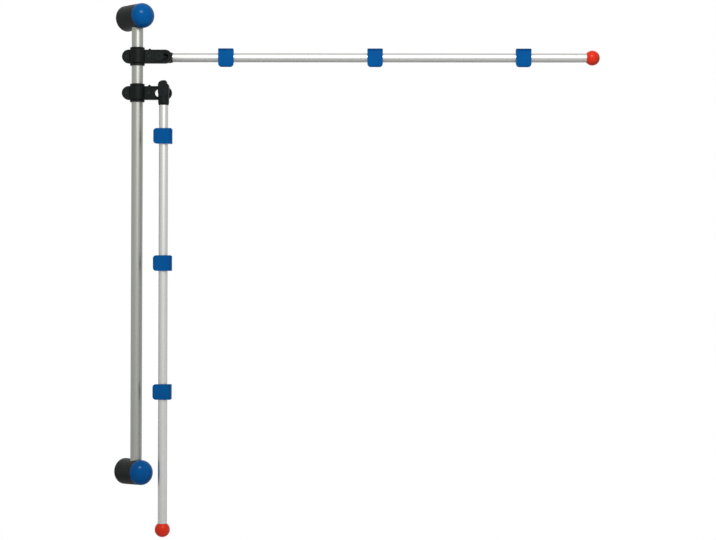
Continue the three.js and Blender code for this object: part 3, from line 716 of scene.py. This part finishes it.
def armTube(end):
    outer, edge = rack["armRadius"], armSizes["edge"]
    inner = outer - armSizes["wall"]
    low, high = socketSizes["tubeStart"], armSizes["length"] + armSizes["ballSeat"]
    loop = filleted([(inner, low, edge), (outer, low, edge),
                     (outer, high, edge), (inner, high, edge)], 3, True)
    tube = alongX(unrolled(turned(loop + loop[:1], armSizes["sides"]), outer))
    place(tube, end + "ArmTube", armFrame(end), end + "_arm", "satin_aluminium", armAluminium,
          end + "_arm_tube")


def armBall(end):
    radius, bore = armSizes["ball"], rack["armRadius"] + rack["fit"]
    floor = armSizes["ballSeat"] + rack["fit"]
    mouth = math.asin(bore / radius)
    turns = [mouth + (math.pi - mouth) * k / armSizes["ballSteps"] for k in range(armSizes["ballSteps"] + 1)]
    shell = [(radius * math.sin(t), -radius * math.cos(t)) for t in turns]
    shell[-1] = (0, radius)
    seat = [(0, floor), (bore, floor), (bore, shell[0][1] + armSizes["mouthFall"]),
            (bore + armSizes["edge"], shell[0][1])]
    ball = turned(seat + shell[1:], armSizes["sides"])
    spot = armFrame(end) @ Matrix.Translation((armSizes["length"], 0, 0))
    place(alongX(ball), end + "ArmBall", spot, end + "_arm", "red_plastic", redAbs, end + "_arm_ball")


clipSizes = {
    "shares": {"upper": (0.1534, 0.4976, 0.8404), "lower": (0.1014, 0.3924, 0.6863)},   # of the arm's length
    "length": 34, "corner": 7.5, "topCorner": 2, "bottom": -21.5, "top": 18.9057,
    "bore": 10.3, "saddle": 12.8, "shy": 0.5, "saddleFrom": 95, "saddleTo": 305, "footLap": 5,
    "finAngle": 112, "fin": 2.4, "lean": 3.2,
    "back": 10.3, "face": 12.9, "lip": 6, "curl": 3, "bevel": 0.9, "thumb": 4.5, "flare": 3, "rounding": 0.8,
    "hinge": (6.2, 14.2057),   # forward and up from the tube's axis
    "pin": 1.5, "knuckle": 3.2, "jawKnuckle": 5, "saddleKnuckle": 4, "web": 0.75,
    "wire": 0.4, "coil": 2.6, "turns": 3.25, "legFoot": 7.5, "wireSides": 12, "stepsPerTurn": 24,
    "faceRound": 1.5, "smallEdge": 0.3, "finRound": 0.9, "pinEdge": 0.4, "webSink": 1.3,
    "cornerSteps": 8, "arcSteps": 40, "pinSides": 32, "edgeAngle": 40, "holeHalf": 40,
}
kneeInner = clipSizes["length"] / 2 - clipSizes["jawKnuckle"] - rack["fit"] - clipSizes["saddleKnuckle"]


def onHinge(radius, low, high, sides=40, edge=0.0):
    forward, up = clipSizes["hinge"]
    return moved(alongX(rod(radius, low, high, sides, edge)), y=-forward, z=up)


def finFront(height):
    c = clipSizes
    middle = (c["bore"] + c["saddle"]) / 2
    foot = middle * math.sin(math.radians(c["finAngle"]))
    start = middle * math.cos(math.radians(c["finAngle"])) + c["fin"] / 2
    return start - c["lean"] * (height - foot) / (c["top"] - foot)


def jaw():
    c = clipSizes
    half, lip, thumb = c["length"] / 2, c["bottom"] + c["lip"], c["top"] - c["thumb"]
    section = [(c["back"], thumb), (c["back"], lip)]
    section += bow(section[-1], (c["back"], c["bottom"] + c["face"] - c["back"]),
                   (c["back"] - c["curl"], c["bottom"] + c["bevel"]))
    section += [(c["face"] - c["curl"] - c["bevel"], c["bottom"])]
    section += bow(section[-1], (c["face"], c["bottom"]), (c["face"], lip))
    flared = c["face"] + c["flare"]
    section += filleted([(c["face"], lip), (c["face"], thumb, c["faceRound"]),
                         (flared, c["top"] - c["bevel"], c["smallEdge"]),
                         (flared - c["bevel"], c["top"], c["smallEdge"]),
                         (c["back"] + c["flare"] + c["bevel"], c["top"])], 4)[1:]
    plate = across(slab(section, c["length"]))
    corners = [(-half, c["bottom"], c["corner"]), (half, c["bottom"], c["corner"]),
               (half, c["top"], c["topCorner"]), (-half, c["top"], c["topCorner"])]
    outline = filleted(corners, c["cornerSteps"], True)
    shaped(plate, "INTERSECT", upright(slab(outline, 4 * c["face"])))
    softened(plate, c["rounding"], 4, c["edgeAngle"])
    forward, up = c["hinge"]
    depth, web = c["back"] + c["webSink"], c["web"] * c["knuckle"]
    for low in (-half, half - c["jawKnuckle"]):
        block = slab([(forward, up - web), (depth, up - web), (depth, up + web), (forward, up + web)],
                     c["jawKnuckle"])
        shaped(plate, "UNION", onHinge(c["knuckle"], low, low + c["jawKnuckle"], edge=c["smallEdge"]),
               moved(across(block), x=low + c["jawKnuckle"] / 2))
    return shaped(plate, "DIFFERENCE", onHinge(c["pin"] + rack["fit"], -c["holeHalf"], c["holeHalf"]))


def saddle():
    c = clipSizes
    middle = (c["bore"] + c["saddle"]) / 2
    foot = middle * math.sin(math.radians(c["finAngle"]))
    heel = math.degrees(math.atan2(foot, finFront(foot) - c["fin"]))
    tip = finFront(c["top"])
    section = filleted([(finFront(c["saddle"]), c["saddle"]), (tip, c["top"], c["finRound"]),
                        (tip - c["fin"], c["top"], c["finRound"]), (finFront(foot) - c["fin"], foot)], 4)
    section += arc(0, 0, c["saddle"], heel, c["saddleTo"], c["arcSteps"])[1:]
    section += arc(0, 0, c["bore"], c["saddleTo"], c["saddleFrom"], c["arcSteps"])
    mouth = math.radians(c["saddleFrom"])
    section += [(c["saddle"] * math.cos(mouth), c["saddle"] * math.sin(mouth))]
    body = softened(across(slab(section, c["length"] - 2 * c["shy"])), c["smallEdge"], 2, c["edgeAngle"])
    forward, up = c["hinge"]
    aim = math.degrees(math.atan2(up, forward))
    for low in (-kneeInner - c["saddleKnuckle"], kneeInner):
        outer = arc(0, 0, c["saddle"], aim, c["saddleFrom"] + c["footLap"], c["cornerSteps"])
        inner = arc(0, 0, c["bore"], c["saddleFrom"] + c["footLap"], aim, c["cornerSteps"])
        bridge = moved(across(slab(outer + inner, c["saddleKnuckle"])), x=low + c["saddleKnuckle"] / 2)
        shaped(body, "UNION", bridge,
               onHinge(c["knuckle"], low, low + c["saddleKnuckle"], edge=c["smallEdge"]))
    return shaped(body, "DIFFERENCE", onHinge(c["pin"] + rack["fit"], -c["holeHalf"], c["holeHalf"]))


def hingePin():
    half = clipSizes["length"] / 2 - clipSizes["shy"]
    return onHinge(clipSizes["pin"], -half, half, clipSizes["pinSides"], clipSizes["pinEdge"])


# torsion spring round the hinge pin: one leg behind the jaw, the other on the saddle's fin
def clipSpring():
    c, fit = clipSizes, rack["fit"]
    forward, up = c["hinge"]
    half = kneeInner - fit - c["wire"]
    leg = c["back"] - fit - c["wire"]
    points = [(-half, -leg, c["legFoot"]),
              (-half, -(leg + forward + c["coil"]) / 2, (c["legFoot"] + up) / 2)]
    steps = round(c["turns"] * c["stepsPerTurn"])
    for k in range(steps + 1):
        angle = 2 * math.pi * c["turns"] * k / steps
        points.append((-half + 2 * half * k / steps, -(forward + c["coil"] * math.cos(angle)),
                       up + c["coil"] * math.sin(angle)))
    end = finFront(up + c["coil"]) + fit
    points += [(half, -(end + forward) / 2, up + c["coil"]), (half, -end, up + c["coil"])]
    return grown(pointObject(points, True), bentWire, wireRadius=c["wire"], sides=c["wireSides"],
                 finish=springSteel)


def clips():
    drawn = {"Saddle": (saddle(), "blue_plastic", blueAbs), "Jaw": (jaw(), "blue_plastic", blueAbs),
             "HingePin": (hingePin(), "zinc_steel", zincSteel),
             "Spring": (clipSpring(), "spring_steel", springSteel)}
    nodeNames = {"Saddle": "saddle", "Jaw": "jaw", "HingePin": "hinge_pin", "Spring": "spring"}
    for end in ("upper", "lower"):
        for number, share in enumerate(clipSizes["shares"][end], 1):
            spot = armFrame(end) @ Matrix.Translation((share * armSizes["length"], 0, 0))
            for kind, (shape, slotName, finish) in drawn.items():
                body = f"{end}_jaw_{number}" if kind == "Jaw" else f"{end}_clip_{number}"
                place(twin(shape), f"{end}Clip{number}{kind}", spot, body, slotName, finish,
                      f"{end}_clip_{number}_{nodeNames[kind]}")
    for shape, slotName, finish in drawn.values():
        drop(shape)


column()
for end, at, turn in (("lower", 0, 0), ("upper", rack["spacing"], math.pi)):
    spot = Matrix.Translation((0, 0, at)) @ Matrix.Rotation(quarter, 4, "X") @ Matrix.Rotation(turn, 4, "Z")
    bracket(end, spot)
    bracketCap(end, spot)
print("column and brackets")
for end in ("upper", "lower"):
    sleeve(end)
    clampShells(end)
    clampFasteners(end)
    pivot(end)
print("clamps")
for end in ("upper", "lower"):
    armSocket(end)
    armTube(end)
    armBall(end)
clips()
print("arms and clips")
for name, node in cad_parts.items():   # the set screws stay as packed
    if name.endswith(("lock_screw", "sleeve_screw")):
        for held in node.material_slots:
            held.material = zincSteel

studio = {
    "floorAt": -0.35, "floorRadius": 1.7, "floorSides": 96, "floorColour": "#fdfdfc", "floorGlow": 0.85,
    "ambient": 0.2,
    "keyAt": (-0.75, -1.9, 2.0), "keySize": 0.7, "keyPower": 58,
    "spotAt": (1.2, -1.5, -0.25), "spotSize": 0.3, "spotPower": 0.8,
    "aim": (0.25, -0.25, 0.5),
}


def floor():
    disc = bpy.data.meshes.new("floor")
    shape = bmesh.new()
    bmesh.ops.create_circle(shape, cap_ends=True, segments=studio["floorSides"],
                            radius=studio["floorRadius"])
    shape.to_mesh(disc)
    shape.free()
    disc.transform(Matrix.Translation((0, 0, studio["floorAt"])))
    ground = linked("floor", disc)
    finish = bpy.data.materials.new("paleMattFloor")
    finish.use_nodes = True
    tree = finish.node_tree
    tree.nodes.clear()
    matt = addNode(tree, "ShaderNodeBsdfDiffuse", {"Color": hexToLinear(studio["floorColour"])})
    glow = addNode(tree, "ShaderNodeEmission", {"Color": (1, 1, 1, 1), "Strength": 1.0})
    seen = addNode(tree, "ShaderNodeLightPath")
    share = addNode(tree, "ShaderNodeMath", {0: seen.outputs["Is Camera Ray"], 1: studio["floorGlow"]},
                    operation="MULTIPLY")
    both = addNode(tree, "ShaderNodeMixShader",
                   {0: share.outputs[0], 1: matt.outputs[0], 2: glow.outputs[0]})
    addNode(tree, "ShaderNodeOutputMaterial", {"Surface": both.outputs[0]})
    disc.materials.append(finish)


# white where it is seen or mirrored, plain soft light for everything else
def surroundings():
    world = bpy.data.worlds.new("softWhiteStudio")
    world.use_nodes = True
    scene.world = world
    tree = world.node_tree
    tree.nodes.clear()
    ray = addNode(tree, "ShaderNodeLightPath").outputs
    mirrored = addNode(tree, "ShaderNodeMath", {0: ray["Is Glossy Ray"], 1: ray["Is Transmission Ray"]},
                       operation="MAXIMUM")
    seen = addNode(tree, "ShaderNodeMath", {0: ray["Is Camera Ray"], 1: mirrored.outputs[0]},
                   operation="MAXIMUM")
    strength = addNode(tree, "ShaderNodeMapRange", {"Value": seen.outputs[0], "To Min": studio["ambient"],
                                                    "To Max": 1.0})
    sky = addNode(tree, "ShaderNodeBackground",
                  {"Color": (1, 1, 1, 1), "Strength": strength.outputs["Result"]})
    addNode(tree, "ShaderNodeOutputWorld", {"Surface": sky.outputs[0]})


def lamp(name, at, size, power):
    data = bpy.data.lights.new(name, "AREA")
    data.size = size
    data.energy = power
    obj = linked(name, data)
    obj.location = at
    obj.rotation_euler = (Vector(studio["aim"]) - Vector(at)).to_track_quat("-Z", "Y").to_euler()


view = {"at": (-2.3892, -3.8886, 0.3317), "lift": 1.39, "roll": 0.05,
        "focalPixels": 2060, "imageWidth": 716, "sensorWidth": 36}


def camera():
    data = bpy.data.cameras.new("photoView")
    data.sensor_fit = "HORIZONTAL"
    data.sensor_width = view["sensorWidth"]
    data.lens = view["sensorWidth"] * view["focalPixels"] / view["imageWidth"]
    swing, lift = math.radians(rack["swing"]), math.radians(view["lift"])
    right = Vector((math.cos(swing), -math.sin(swing), 0))
    level = Vector((math.sin(swing), math.cos(swing), 0))
    ahead = level * math.cos(lift) + Vector((0, 0, math.sin(lift)))
    up = right.cross(ahead)
    turn = Matrix((right, up, -ahead)).transposed().to_4x4()
    obj = linked("photoView", data)
    obj.matrix_world = (Matrix.Translation(view["at"]) @ turn
                        @ Matrix.Rotation(math.radians(view["roll"]), 4, "Z"))
    scene.camera = obj


floor()
surroundings()
lamp("frontSoftbox", studio["keyAt"], studio["keySize"], studio["keyPower"])
lamp("lowKicker", studio["spotAt"], studio["spotSize"], studio["spotPower"])
camera()
print("floor, light and camera")
